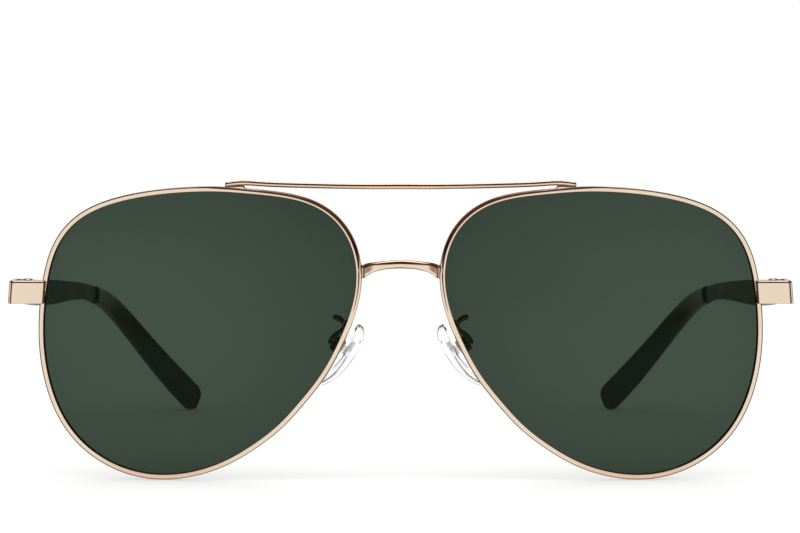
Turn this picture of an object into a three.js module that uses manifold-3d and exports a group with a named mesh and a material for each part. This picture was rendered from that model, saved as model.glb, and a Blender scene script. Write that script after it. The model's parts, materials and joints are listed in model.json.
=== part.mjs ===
// Aviator sunglasses, in millimetres. The front faces -Y, the temples run to +Y and +Z is up.
// The wearer's left side is +X. Each paired piece is built on the +X side and mirrored to -X.
// The whole is moved along Y and Z at the end, to stand on z = 0 with its depth centred.
import * as THREE from "three";
import { mergeVertices } from "three/addons/utils/BufferGeometryUtils.js";
import Module from "manifold-3d";

const wasm = await Module();
wasm.setup();

// ---------------------------------------------------------------- shared dimensions
const SOLDER_GAP = 0.05; // between the rim and the parts trimmed to it
const HOLE_SPAN = [32, 38]; // heights that pass right through the end piece's fittings

// ---------------------------------------------------------------- materials
const standard = (settings) => () => new THREE.MeshStandardMaterial(settings);
const gold = standard({ color: 0xe3bf9c, metalness: 1, roughness: 0.22 });
const steel = standard({ color: 0xb9b4ac, metalness: 1, roughness: 0.22 });
const blackMetal = standard({ color: 0x16181a, metalness: 0.3, roughness: 0.4 });
const acetate = standard({ color: 0x0b0c0c, metalness: 0, roughness: 0.25 });
const clear = (settings) => standard({ metalness: 0, transparent: true, ...settings });
const tint = clear({ color: 0x3f4c41, roughness: 0.05, opacity: 0.85 });
const silicone = clear({ color: 0xe9eeee, roughness: 0.15, opacity: 0.45 });
const carrierPlastic = clear({ color: 0xd8dcdc, roughness: 0.3, opacity: 0.7 });

// ---------------------------------------------------------------- solids and surfaces
function solid(geometry) {
  const flat = geometry.index ? geometry.toNonIndexed() : geometry;
  const bare = new THREE.BufferGeometry().setAttribute("position", flat.getAttribute("position"));
  const merged = mergeVertices(bare, 1e-4);
  return new wasm.Manifold(
    new wasm.Mesh({
      numProp: 3,
      vertProperties: new Float32Array(merged.attributes.position.array),
      triVerts: new Uint32Array(merged.index.array),
    }),
  );
}

// A flat-shaded geometry of a solid
function surface(body) {
  const { numVert, numProp, vertProperties, triVerts } = body.getMesh();
  const positions = new Float32Array(numVert * 3);
  for (let i = 0; i < numVert; i++) {
    positions.set(vertProperties.subarray(i * numProp, i * numProp + 3), i * 3);
  }
  const geometry = new THREE.BufferGeometry()
    .setAttribute("position", new THREE.BufferAttribute(positions, 3))
    .setIndex(new THREE.BufferAttribute(new Uint32Array(triVerts), 1))
    .toNonIndexed();
  geometry.computeVertexNormals();
  return geometry;
}

const join = (...bodies) => bodies.reduce((whole, body) => whole.add(body));
const cut = (body, ...tools) => tools.reduce((rest, tool) => rest.subtract(tool), body);

// Mirrors a surface in x, and swaps two corners of each triangle so that it still faces outwards
function mirrored(geometry) {
  const copy = geometry.clone();
  copy.scale(-1, 1, 1);
  const values = copy.getAttribute("position").array;
  for (let i = 0; i < values.length; i += 9) {
    for (let k = 0; k < 3; k++) {
      [values[i + 3 + k], values[i + 6 + k]] = [values[i + 6 + k], values[i + 3 + k]];
    }
  }
  copy.computeVertexNormals();
  return copy;
}

// The range from centre - half to centre + half
const around = (centre, half) => [centre - half, centre + half];

function boxGeometry([x0, x1], [y0, y1], [z0, z1]) {
  const box = new THREE.BoxGeometry(x1 - x0, y1 - y0, z1 - z0);
  return box.translate((x0 + x1) / 2, (y0 + y1) / 2, (z0 + z1) / 2);
}
const block = (...ranges) => solid(boxGeometry(...ranges));

// An upright round bar on the axis (x, y)
function post([x, y], [z0, z1], radius, sides = 20) {
  const bar = new THREE.CylinderGeometry(radius, radius, z1 - z0, sides).rotateX(Math.PI / 2);
  return solid(bar.translate(x, y, (z0 + z1) / 2));
}

const shapeOf = (points) => new THREE.Shape(points.map(([x, y]) => new THREE.Vector2(x, y)));

// A flat profile in the XY plane, raised between two heights
function raised(points, [z0, z1], bevel = 0) {
  const geometry = new THREE.ExtrudeGeometry(shapeOf(points), {
    depth: z1 - z0 - 2 * bevel,
    bevelEnabled: bevel > 0,
    bevelThickness: bevel,
    bevelSize: bevel,
    bevelOffset: -bevel,
    bevelSegments: 1,
  });
  return geometry.translate(0, 0, z0 + bevel);
}

// Points on an arc, between two angles in degrees
function arc(x, y, radius, from, to, steps) {
  return Array.from({ length: steps + 1 }, (_, i) => {
    const angle = THREE.MathUtils.degToRad(from + ((to - from) * i) / steps);
    return [x + radius * Math.cos(angle), y + radius * Math.sin(angle)];
  });
}

// A closed skin over a run of matching rings. A ring turns from its first axis to its second,
// and the run goes along the cross product of the two axes.
function loft(rings) {
  const count = rings[0].length;
  const last = (rings.length - 1) * count;
  const index = [];
  for (let i = 0; i + 1 < rings.length; i++) {
    for (let j = 0; j < count; j++) {
      const here = i * count + j;
      const next = i * count + ((j + 1) % count);
      index.push(here, next, next + count, here, next + count, here + count);
    }
  }
  for (let j = 1; j + 1 < count; j++) index.push(0, j + 1, j, last, last + j, last + j + 1);
  return new THREE.BufferGeometry().setFromPoints(rings.flat()).setIndex(index);
}

// A rectangle with cut corners, given by its half sizes
function octagon(w, h, corner) {
  return [
    [w, corner - h], [w, h - corner], [w - corner, h], [corner - w, h],
    [-w, h - corner], [-w, corner - h], [corner - w, -h], [w - corner, -h],
  ];
}

function ring(centre, axis1, axis2, section) {
  return section.map(([along1, along2]) =>
    centre.clone().addScaledVector(axis1, along1).addScaledVector(axis2, along2),
  );
}

const AXIS_Y = new THREE.Vector3(0, 1, 0);
const AXIS_Z = new THREE.Vector3(0, 0, 1);

// Straight-line lookup in rows of [y, value], held constant beyond both ends
function lookUp(rows, y) {
  if (y <= rows[0][0]) return rows[0][1];
  for (let i = 1; i < rows.length; i++) {
    const [y0, value0] = rows[i - 1];
    const [y1, value1] = rows[i];
    if (y <= y1) return THREE.MathUtils.mapLinear(y, y0, y1, value0, value1);
  }
  return rows[rows.length - 1][1];
}

// An upright screw with a slotted head on top of the fitting it holds. The slot starts
// slotFloor above the fitting and the head ends headTop above it.
function slottedScrew({ at, foot, top, radius, headRadius, headTop, slotFloor, slotHalf, sides }) {
  const [x, y] = at;
  return cut(
    join(
      post(at, [foot - 0.02, top + 0.1], radius, sides),
      post(at, [top + 0.03, top + headTop], headRadius, sides),
    ),
    block(around(x, slotHalf), around(y, 0.1), [top + slotFloor, top + 1]),
  );
}

// ---------------------------------------------------------------- outline of the +X lens
const LENS_CENTRE = { x: 37.838, z: 27.502 };
const LENS_BASE_RADIUS = 103; // radius of the lens dome
const FACE_FORM = Math.tan(THREE.MathUtils.degToRad(5)); // each lens is turned back 5 degrees
const FRONT_DEPTH = 1.2; // depth of the lens centre behind the y = 0 plane
// Radius every 10 degrees, from the temple side and over the top
const OUTLINE = [
  29.49, 29.69, 30.40, 31.20, 31.24, 30.17, 28.67, 27.46, 26.79, 26.64, 27.03, 27.97,
  29.68, 31.84, 33.17, 32.95, 31.45, 29.14, 26.83, 25.14, 23.84, 22.93, 22.55, 22.56,
  22.84, 23.47, 24.44, 25.62, 26.90, 28.19, 29.26, 29.98, 30.35, 30.26, 29.89, 29.58,
];
const OUTLINE_STEPS = 72;

const lensDepth = (x, z) =>
  FACE_FORM * (x - LENS_CENTRE.x) +
  ((x - LENS_CENTRE.x) ** 2 + (z - LENS_CENTRE.z) ** 2) / (2 * LENS_BASE_RADIUS) +
  FRONT_DEPTH;

// Points rearwards. The edge of the lens and the depth of the rim both run along it.
const LENS_AXIS = new THREE.Vector3(-FACE_FORM, 1, 0).normalize();

// Rearward normal of the dome
const lensNormal = (x, z) =>
  new THREE.Vector3(
    -(FACE_FORM + (x - LENS_CENTRE.x) / LENS_BASE_RADIUS),
    1,
    -(z - LENS_CENTRE.z) / LENS_BASE_RADIUS,
  ).normalize();

const outline = new THREE.CatmullRomCurve3(
  OUTLINE.map((radius, i) => {
    const angle = THREE.MathUtils.degToRad(i * 10);
    const x = LENS_CENTRE.x + radius * Math.cos(angle);
    return new THREE.Vector3(x, 0, LENS_CENTRE.z + radius * Math.sin(angle));
  }),
  true,
);

// The outline laid on the dome, at a share of one turn that may pass 1
function outlinePoint(share) {
  const { x, z } = outline.getPoint(((share % 1) + 1) % 1);
  return new THREE.Vector3(x, lensDepth(x, z), z);
}

// Samples along the outline: point, and run, outward and rearward directions
function outlineSamples(start, end) {
  return Array.from({ length: OUTLINE_STEPS + 1 }, (_, i) => {
    const share = start + ((end - start) * i) / OUTLINE_STEPS;
    const point = outlinePoint(share);
    const run = outlinePoint(share + 1e-4).sub(outlinePoint(share - 1e-4)).normalize();
    const back = LENS_AXIS.clone();
    back.addScaledVector(run, -back.dot(run)).normalize();
    const out = new THREE.Vector3().crossVectors(back, run);
    return { point, run, out, back };
  });
}

// A path that carries the outline's own frames, so the swept section never twists
class OutlinePath extends THREE.Curve {
  constructor(samples) {
    super();
    this.samples = samples;
  }
  getSpacedPoints() {
    return this.samples.map((sample) => sample.point.clone());
  }
  computeFrenetFrames() {
    return {
      tangents: this.samples.map((sample) => sample.run),
      normals: this.samples.map((sample) => sample.out),
      binormals: this.samples.map((sample) => sample.back),
    };
  }
}

// Section points are [outwards, rearwards] from the outline
function sweep(samples, section) {
  const geometry = new THREE.ExtrudeGeometry(shapeOf(section), {
    steps: samples.length - 1,
    bevelEnabled: false,
    extrudePath: new OutlinePath(samples),
  });
  return solid(geometry);
}

// ---------------------------------------------------------------- rim
const SPLIT_AT = 14.42 / 360; // the rim is split here, at the end piece
const SPLIT_HALF = 0.0008; // half of the 0.3 mm split, as a share of the outline
const RIM_WIDTH = 0.95;
const RIM_FRONT = -0.45; // rim front and back, measured from the outline
const RIM_BACK = 1.4;
const RIM_CHAMFER = 0.22;
const RIM_GROOVE = { front: 0, floor: [0.42, 0.58], back: 1.0, depth: 0.45 };
const TRIM_SPAN = [0.74, 1.739]; // the trimming tool's own slit lies at the bottom
const TRIM_INNER = -0.5; // the tool reaches this far inside the outline

const samples = outlineSamples(SPLIT_AT + SPLIT_HALF, SPLIT_AT + 1 - SPLIT_HALF);
const rim = sweep(samples, [
  [0, RIM_FRONT + 0.2],
  [RIM_CHAMFER, RIM_FRONT],
  [RIM_WIDTH - RIM_CHAMFER, RIM_FRONT],
  [RIM_WIDTH, RIM_FRONT + RIM_CHAMFER],
  [RIM_WIDTH, RIM_BACK - RIM_CHAMFER],
  [RIM_WIDTH - RIM_CHAMFER, RIM_BACK],
  [RIM_CHAMFER, RIM_BACK],
  [0, RIM_BACK - RIM_CHAMFER],
  [0, RIM_GROOVE.back],
  [RIM_GROOVE.depth, RIM_GROOVE.floor[1]],
  [RIM_GROOVE.depth, RIM_GROOVE.floor[0]],
  [0, RIM_GROOVE.front],
]);

// What the neighbours of the rim are trimmed with, leaving the solder gap
const rimTool = sweep(outlineSamples(...TRIM_SPAN), [
  [TRIM_INNER, RIM_FRONT - SOLDER_GAP],
  [RIM_WIDTH + SOLDER_GAP, RIM_FRONT - SOLDER_GAP],
  [RIM_WIDTH + SOLDER_GAP, RIM_BACK + SOLDER_GAP],
  [TRIM_INNER, RIM_BACK + SOLDER_GAP],
]);
const rimToolRight = solid(mirrored(surface(rimTool)));

// ---------------------------------------------------------------- lens
const LENS_FRONT = 0;
const LENS_BACK = 1.1; // the lens is 1.1 thick
const LENS_RINGS = [0.33, 0.67]; // inner rings of the dome, as shares of the outline
const LENS_INSET = -0.06; // the faces end just inside the outline
// Ridge around the edge, [outwards, rearwards]
const LENS_RIDGE = [[LENS_INSET, 0.12], [0.35, 0.5], [LENS_INSET, 0.88]];

function makeLens() {
  const domePoint = (x, z, depth) =>
    new THREE.Vector3(x, lensDepth(x, z), z).addScaledVector(lensNormal(x, z), depth);
  const dome = (share, depth) =>
    samples.map(({ point }) => {
      const x = LENS_CENTRE.x + (point.x - LENS_CENTRE.x) * share;
      const z = LENS_CENTRE.z + (point.z - LENS_CENTRE.z) * share;
      return domePoint(x, z, depth);
    });
  const edge = (outwards, rearwards) =>
    samples.map(({ point, out, back }) =>
      point.clone().addScaledVector(out, outwards).addScaledVector(back, rearwards),
    );
  const [inner, outer] = LENS_RINGS;
  const rings = [
    dome(inner, LENS_FRONT),
    dome(outer, LENS_FRONT),
    edge(LENS_INSET, LENS_FRONT),
    ...LENS_RIDGE.map(([outwards, rearwards]) => edge(outwards, rearwards)),
    edge(LENS_INSET, LENS_BACK),
    dome(outer, LENS_BACK),
    dome(inner, LENS_BACK),
  ];
  const pole = (depth) => domePoint(LENS_CENTRE.x, LENS_CENTRE.z, depth);
  const points = [...rings.flat(), pole(LENS_FRONT), pole(LENS_BACK)];
  const count = samples.length;
  const last = (rings.length - 1) * count;
  const frontPole = rings.length * count;
  const backPole = frontPole + 1;
  const index = [];
  for (let k = 0; k + 1 < rings.length; k++) {
    for (let i = 0; i < count; i++) {
      const here = k * count + i;
      const next = k * count + ((i + 1) % count);
      index.push(here, here + count, next + count, here, next + count, next);
    }
  }
  for (let i = 0; i < count; i++) {
    const j = (i + 1) % count;
    index.push(frontPole, i, j, backPole, last + j, last + i);
  }
  return solid(new THREE.BufferGeometry().setFromPoints(points).setIndex(index));
}

// ---------------------------------------------------------------- bridge and brow bar
// Sections of the +X half: x, y, z, height, depth
const BRIDGE = [
  [0, 2.3, 40.67, 1.47, 1.9], [1.4, 2.33, 40.62, 1.48, 1.9], [2.84, 2.45, 40.49, 1.53, 1.9],
  [4, 2.62, 40.3, 1.68, 1.85], [5, 2.85, 40.08, 1.87, 1.8], [5.64, 3.05, 39.9, 2.08, 1.75],
  [6.3, 3.3, 39.6, 2.4, 1.7], [6.8, 3.5, 39.27, 2.7, 1.7], [7.6, 3.8, 39.15, 2.75, 1.7],
];
const BROW_BAR = [
  [0, 3.3, 55.15, 0.88, 1.3], [7.43, 3.35, 55.14, 0.85, 1.3], [18.6, 3.6, 55.35, 0.86, 1.3],
  [26, 4.0, 55.62, 0.86, 1.3], [29.84, 4.35, 55.79, 0.86, 1.3], [31.5, 4.5, 55.64, 0.82, 1.25],
  [32.4, 4.58, 55.46, 0.66, 1.05], [32.8, 4.62, 55.37, 0.3, 0.5],
];
const BROW_FOOT = { x: [29.2, 31.1], y: [4.0, 4.85], z: [53.9, 55.6] };

// A bar across the middle plane, thickened by grow on every side
function crossbar(rows, grow = 0) {
  const otherHalf = rows.slice(1).reverse().map(([x, ...rest]) => [-x, ...rest]);
  const rings = [...otherHalf, ...rows].map(([x, y, z, height, depth]) => {
    const corner = 0.3 * Math.min(depth, height);
    const section = octagon(depth / 2 + grow, height / 2 + grow, corner);
    return ring(new THREE.Vector3(x, y, z), AXIS_Y, AXIS_Z, section);
  });
  return solid(loft(rings));
}

const bridge = cut(crossbar(BRIDGE), rimTool, rimToolRight);
const browBar = crossbar(BROW_BAR);
// Joins the brow bar to the top of the rim
const browFoot = cut(
  block(BROW_FOOT.x, BROW_FOOT.y, BROW_FOOT.z),
  crossbar(BROW_BAR, SOLDER_GAP),
  rimTool,
);

// ---------------------------------------------------------------- end piece
const END_PIECE = {
  inner: 67.45, // x
  outer: 73.85,
  front: 6.9, // y
  back: 14.5,
  z: [32.95, 37.1],
  frontWall: 1.1,
  sideWall: 0.95,
  outerBend: 1.0,
  innerBend: 0.5,
  bevel: 0.12,
  lean: 0.075, // towards the middle plane, per millimetre of height
};
const SIDE_WALL_INNER = END_PIECE.outer - END_PIECE.sideWall;

// An L seen from above: across the front, then back along the side
function makeEndPiece() {
  const { inner, outer, front, back, frontWall, outerBend, innerBend, lean, z } = END_PIECE;
  const frontWallBack = front + frontWall;
  const profile = [
    [inner, front],
    ...arc(outer - outerBend, front + outerBend, outerBend, -90, 0, 6),
    [outer, back],
    [SIDE_WALL_INNER, back],
    ...arc(SIDE_WALL_INNER - innerBend, frontWallBack + innerBend, innerBend, 0, -90, 3),
    [inner, frontWallBack],
  ];
  const leaning = new THREE.Matrix4()
    .makeShear(0, 0, 0, 0, -lean, 0)
    .setPosition((lean * (z[0] + z[1])) / 2, 0, 0);
  return cut(solid(raised(profile, z, END_PIECE.bevel).applyMatrix4(leaning)), rimTool);
}

// ---------------------------------------------------------------- closing blocks and screw
const BLOCK_X = [67.3, 70.3];
const BLOCK_Y = [8.1, 10.9];
const BLOCK_LOW = [33.1, 34.85];
const BLOCK_HIGH = [35.15, 36.7];
const CLOSING_SCREW_AT = [69.1, 9.6];
const CLOSING_SCREW_RADIUS = 0.45;
const CLOSING_SCREW_SIDES = 16;

const blockBore = post(
  CLOSING_SCREW_AT,
  HOLE_SPAN,
  CLOSING_SCREW_RADIUS + 0.1,
  CLOSING_SCREW_SIDES,
);
const closingBlock = (range) => cut(block(BLOCK_X, BLOCK_Y, range), rimTool, blockBore);
const closingScrew = slottedScrew({
  at: CLOSING_SCREW_AT,
  foot: BLOCK_LOW[0],
  top: BLOCK_HIGH[1],
  radius: CLOSING_SCREW_RADIUS,
  headRadius: 0.85,
  headTop: 0.4,
  slotFloor: 0.22,
  slotHalf: 0.9,
  sides: CLOSING_SCREW_SIDES,
});

// ---------------------------------------------------------------- path of the temple
const TEMPLE_THICKNESS = 1.2;
// y, x of the inner face, z of the middle
const TEMPLE_RUN = [
  [14.75, 72.4, 35.03], [20, 71.85, 34.5], [28, 71.02, 33.72], [36, 70.2, 33.16],
  [50.9, 68.82, 32.39], [62, 67.7, 31.83], [72.6, 66.64, 31.14], [82.9, 65.53, 30.14],
  [92.6, 64.4, 28.64], [100.3, 63.05, 26.83], [106.2, 61.55, 24.45], [111.2, 59.9, 21.7],
  [115.6, 58.16, 18.8], [119.9, 56.3, 15.75], [123.8, 54.45, 12.8], [127.5, 52.5, 9.9],
  [131, 50.55, 7.1], [136.3, 47.5, 2.98], [141, 44.8, -0.7],
];

const templePath = new THREE.CatmullRomCurve3(
  TEMPLE_RUN.map(([y, x, z]) => new THREE.Vector3(x + TEMPLE_THICKNESS / 2, y, z)),
);

// Point and directions of the path at a given y, found by halving
function templeFrame(y) {
  let low = 0;
  let high = 1;
  for (let i = 0; i < 40; i++) {
    const middle = (low + high) / 2;
    if (templePath.getPoint(middle).y < y) low = middle;
    else high = middle;
  }
  const along = templePath.getTangent(low);
  const side = new THREE.Vector3(along.y, -along.x, 0).normalize();
  const down = new THREE.Vector3().crossVectors(along, side);
  return { at: templePath.getPoint(low), along, side, down };
}

function templeRing(y, height, thickness, corner, ahead = 0) {
  const { at, along, side, down } = templeFrame(y);
  const section = octagon(thickness / 2, height / 2, corner);
  return ring(at.addScaledVector(along, ahead), side, down, section);
}

// ---------------------------------------------------------------- hinge
const HINGE_X = 70.95;
const HINGE_Y = 14.6;
const HINGE_AT = [HINGE_X, HINGE_Y];
const BARREL_RADIUS = 1.15;
const BARREL_BORE = 0.58;
const BARREL_LOW = [33.05, 34.27];
const BARREL_MIDDLE = [34.37, 35.63];
const BARREL_HIGH = [35.73, 36.95];
const BARREL_RELIEF = 0.12; // clearance around the middle barrel
const FRONT_LEAF_X = [HINGE_X + BARREL_RADIUS + 0.05, SIDE_WALL_INNER - 0.25];
const FRONT_LEAF_Y = [10.2, HINGE_Y - 0.25];
const TEMPLE_LEAF_Z = [33.4, 36.3];
const TEMPLE_LEAF_GAP = 0.08; // between the leaf and the temple's inner face

const barrelBore = post(HINGE_AT, HOLE_SPAN, BARREL_BORE);

// Leaf inside the end piece, with the lower and upper barrels
function makeFrontHinge() {
  const barrels = [BARREL_LOW, BARREL_HIGH].flatMap((range) => [
    post(HINGE_AT, range, BARREL_RADIUS),
    block([HINGE_X, FRONT_LEAF_X[1]], [HINGE_Y - BARREL_RADIUS, FRONT_LEAF_Y[1]], range),
  ]);
  const reliefSpan = [BARREL_LOW[1] - 0.001, BARREL_HIGH[0] + 0.001];
  return cut(
    join(block(FRONT_LEAF_X, FRONT_LEAF_Y, [BARREL_LOW[0], BARREL_HIGH[1]]), ...barrels),
    barrelBore,
    post(HINGE_AT, reliefSpan, BARREL_RADIUS + BARREL_RELIEF),
  );
}

// Leaf along the temple's inner face, with the middle barrel and the web between them
function makeTempleHinge() {
  const leafPoint = (y, inwards = 0) => [
    lookUp(TEMPLE_RUN, y) - TEMPLE_LEAF_GAP - inwards,
    y,
  ];
  const web = [[HINGE_X + 0.3, HINGE_Y], leafPoint(15.0), leafPoint(16.6), leafPoint(16.6, 0.7)];
  const leaf = [
    leafPoint(16.2), leafPoint(20), leafPoint(21.5),
    leafPoint(21.5, 0.6), leafPoint(16.2, 0.7),
  ];
  return cut(
    join(
      post(HINGE_AT, BARREL_MIDDLE, BARREL_RADIUS),
      solid(raised(web, BARREL_MIDDLE)),
      solid(raised(leaf, TEMPLE_LEAF_Z)),
    ),
    barrelBore,
  );
}

const hingeScrew = slottedScrew({
  at: HINGE_AT,
  foot: BARREL_LOW[0],
  top: BARREL_HIGH[1],
  radius: 0.5,
  headRadius: 0.9,
  headTop: 0.3,
  slotFloor: 0.17,
  slotHalf: 1,
  sides: 20,
});

// ---------------------------------------------------------------- temple arm and tip
const SLEEVE_START = 88.7;
const CORE_END = 127;
const TIP_END = 136.3; // the rounded end starts here
const CORE = { height: 1.5, thickness: 1.0, corner: 0.2 };
const CORE_BORE = { height: CORE.height + 0.24, thickness: CORE.thickness + 0.24, corner: 0.25 };
const ARM_CORNER = 0.25;
const SLEEVE_CORNER = 0.55;
// Height of the metal arm: y, height
const ARM_HEIGHT = [
  [14.75, 4.1], [17, 4.5], [22, 4.9], [36, 5.1], [48, 4.9],
  [54, 4.45], [60, 4.1], [66, 3.8], [74, 3.5], [88.2, 3.2],
];
// Height and thickness of the acetate tip: y, size
const SLEEVE_HEIGHT = [
  [SLEEVE_START, 3.7], [94, 3.9], [100, 4.4], [106, 4.75], [112, 4.95],
  [118, 5.2], [124, 5.6], [130, 6.1], [TIP_END, 6.3],
];
const SLEEVE_THICKNESS = [
  [SLEEVE_START, 2.3], [100, 2.5], [112, 2.7], [124, 3.0], [TIP_END, 3.2],
];
// Rounding of the tip: distance past TIP_END, share of the full size
const TIP_ROUNDING = [[1.2, 0.93], [2.1, 0.75], [2.75, 0.48], [3.0, 0.2]];
// Where the sections stand along y; the core, its bore and the sleeve share CORE_STATIONS
const ARM_STATIONS = [14.75, 17, 20, 24, 30, 36, 42, 48, 54, 60, 66, 74, 81, 88.2];
const CORE_STATIONS = [91, 94, 97.5, 101, 104.5, 108, 111.5, 115, 118.5, 122, 125];
const TIP_STATIONS = [128, 131, 133.7, TIP_END];

const coreRings = (start, end, { height, thickness, corner }) =>
  [start, ...CORE_STATIONS, end].map((y) => templeRing(y, height, thickness, corner));

// The metal arm, narrowing to a core inside the tip
function makeTempleArm() {
  const armRings = ARM_STATIONS.map((y) =>
    templeRing(y, lookUp(ARM_HEIGHT, y), TEMPLE_THICKNESS, ARM_CORNER),
  );
  return solid(loft([...armRings, ...coreRings(88.6, CORE_END, CORE)]));
}

// The acetate tip, hollowed for the core
function makeTempleTip() {
  const sleeveRing = (y, share = 1, ahead = 0) =>
    templeRing(
      y,
      lookUp(SLEEVE_HEIGHT, y) * share,
      lookUp(SLEEVE_THICKNESS, y) * share,
      SLEEVE_CORNER * share,
      ahead,
    );
  const sleeve = [SLEEVE_START, ...CORE_STATIONS, ...TIP_STATIONS].map((y) => sleeveRing(y));
  const rounding = TIP_ROUNDING.map(([ahead, share]) => sleeveRing(TIP_END, share, ahead));
  const bore = coreRings(88, CORE_END + 0.6, CORE_BORE);
  return cut(solid(loft([...sleeve, ...rounding])), solid(loft(bore)));
}

// ---------------------------------------------------------------- frame of the nose pad
// In the pad's frame x runs down its long axis, y rearwards across it and z away from the nose.
const PAD_CENTRE = new THREE.Vector3(10.3, 12.5, 22.25);
const PAD_AXIS = new THREE.Vector3(0.573, 0.05, -0.819).normalize();
const PAD_SPLAY = new THREE.Vector3(0.08, 0.99, 0); // short axis before it is squared
const PAD_PIVOT = { x: -1.15, z: 2.8 }; // axis of the pad screw

const padAcross = PAD_SPLAY.clone()
  .addScaledVector(PAD_AXIS, -PAD_SPLAY.dot(PAD_AXIS))
  .normalize();
const padOut = new THREE.Vector3().crossVectors(PAD_AXIS, padAcross);
const padFrame = new THREE.Matrix4()
  .makeBasis(PAD_AXIS, padAcross, padOut)
  .setPosition(PAD_CENTRE);

const inPad = (x, y, z) => new THREE.Vector3(x, y, z).applyMatrix4(padFrame);
const placed = (geometry) => solid(geometry.applyMatrix4(padFrame));
const padBlock = (...ranges) => placed(boxGeometry(...ranges));

// A round bar across the pad, on the pivot axis
function padRod([y0, y1], radius, sides = 16) {
  const rod = new THREE.CylinderGeometry(radius, radius, y1 - y0, sides);
  return placed(rod.translate(PAD_PIVOT.x, (y0 + y1) / 2, PAD_PIVOT.z));
}

// ---------------------------------------------------------------- nose pad and its insert
const PAD_BOW_RADIUS = 17; // the pad bulges towards the nose
// Sections of the pad: place along it, half width, half thickness
const PAD_SECTIONS = [
  [-7.2, 0.6, 0.3], [-6.9, 1.25, 0.6], [-6.2, 1.95, 0.85], [-5, 2.5, 1.0],
  [-3.2, 3.0, 1.1], [-1, 3.3, 1.15], [1.8, 3.6, 1.15], [4.2, 3.4, 1.05],
  [5.6, 2.8, 0.9], [6.6, 1.85, 0.65], [7.2, 0.7, 0.3],
];
const CARRIER_PLATE = { x: [-3.7, 3.3], y: [-1.5, 1.5], z: [0.1, 0.7] };
const CARRIER_BOSS = { x: [-1.95, -0.25], y: [-0.9, 0.9], z: [0.4, 1.45] };
const CARRIER_CLEARANCE = 0.06;
const LUG = { halfLength: 0.55, halfWidth: 0.42, root: 1.2, eyeRadius: 0.56, bore: 0.43 };

// Plate and boss inside the pad, thickened by grow
function carrierSolid(grow) {
  const grown = ([low, high]) => [low - grow, high + grow];
  const { x, y, z } = CARRIER_BOSS;
  return join(
    padBlock(grown(CARRIER_PLATE.x), grown(CARRIER_PLATE.y), grown(CARRIER_PLATE.z)),
    padBlock(grown(x), grown(y), [z[0], z[1] + grow]),
  );
}

function makeNosePad() {
  const rings = PAD_SECTIONS.map(([x, halfWidth, halfThickness]) => {
    const centre = new THREE.Vector3(x, 0, (x * x) / (2 * PAD_BOW_RADIUS));
    const corner = 0.6 * Math.min(halfWidth, halfThickness);
    return ring(centre, AXIS_Y, AXIS_Z, octagon(halfWidth, halfThickness, corner));
  });
  return cut(placed(loft(rings)), carrierSolid(CARRIER_CLEARANCE));
}

// The carrier with its lug, bored for the pad screw
function makePadInsert() {
  const lugY = around(0, LUG.halfWidth);
  return cut(
    join(
      carrierSolid(0),
      padBlock(around(PAD_PIVOT.x, LUG.halfLength), lugY, [LUG.root, PAD_PIVOT.z]),
      padRod(lugY, LUG.eyeRadius),
    ),
    padRod([-1, 1], LUG.bore),
  );
}

// ---------------------------------------------------------------- pad box, screw and arm
const PAD_BOX = { halfLength: 1.4, halfWidth: 1.25, z: [1.75, 3.85], bore: 0.41 };
const PAD_BOX_HOLLOW = { halfLength: 0.8, halfWidth: 0.6, floor: 3.5 };
const PAD_ARM_RADIUS = 0.42;

// A box over the lug, open towards the pad
function makePadBox() {
  const { halfLength, halfWidth, floor } = PAD_BOX_HOLLOW;
  return cut(
    padBlock(around(PAD_PIVOT.x, PAD_BOX.halfLength), around(0, PAD_BOX.halfWidth), PAD_BOX.z),
    padBlock(
      around(PAD_PIVOT.x, halfLength),
      around(0, halfWidth),
      [PAD_BOX.z[0] - 0.1, floor],
    ),
    padRod([-2, 2], PAD_BOX.bore),
  );
}

// Shank and slotted head, with the head at the front
function makePadScrew() {
  return cut(
    join(padRod([-1.5, 1.3], 0.33, 12), padRod([-1.65, -1.3], 0.62)),
    padBlock(around(PAD_PIVOT.x, 0.08), [-2, -1.5], around(PAD_PIVOT.z, 1)),
  );
}

// A bent wire from the rim, back and round to the outer face of the pad box
function makePadArm() {
  const rest = PAD_BOX.z[1] + PAD_ARM_RADIUS + SOLDER_GAP;
  const path = new THREE.CatmullRomCurve3([
    new THREE.Vector3(10.1, 3.4, 29.45),
    new THREE.Vector3(10.45, 4.9, 29.55),
    new THREE.Vector3(11.3, 6.7, 29.95),
    new THREE.Vector3(12.15, 8.4, 30.25),
    new THREE.Vector3(12.35, 9.5, 30.3),
    new THREE.Vector3(11.85, 10.5, 30.1),
    new THREE.Vector3(11.1, 11.2, 29.5),
    new THREE.Vector3(10.75, 11.6, 28.5),
    new THREE.Vector3(11.15, 11.9, 27.6),
    inPad(PAD_PIVOT.x - 1.35, 0, rest),
    inPad(PAD_PIVOT.x + 0.9, 0, rest),
  ]);
  const wire = new THREE.ExtrudeGeometry(shapeOf(arc(0, 0, PAD_ARM_RADIUS, 0, 324, 9)), {
    steps: 30,
    bevelEnabled: false,
    extrudePath: path,
  });
  return cut(solid(wire), rimTool);
}

// ---------------------------------------------------------------- assembly
const glasses = new THREE.Group();
const front = new THREE.Group();
const temples = [new THREE.Group(), new THREE.Group()]; // left, right
const pads = [new THREE.Group(), new THREE.Group()];
glasses.add(front, ...temples, ...pads);

function add(parent, name, geometry, material) {
  const mesh = new THREE.Mesh(geometry, material());
  mesh.name = name;
  parent.add(mesh);
}
function addPair([leftParent, rightParent], name, body, material) {
  const geometry = surface(body);
  add(leftParent, name + "_left", geometry, material);
  add(rightParent, name + "_right", mirrored(geometry), material);
}

add(front, "bridge", surface(bridge), gold);
add(front, "brow_bar", surface(browBar), gold);

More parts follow.
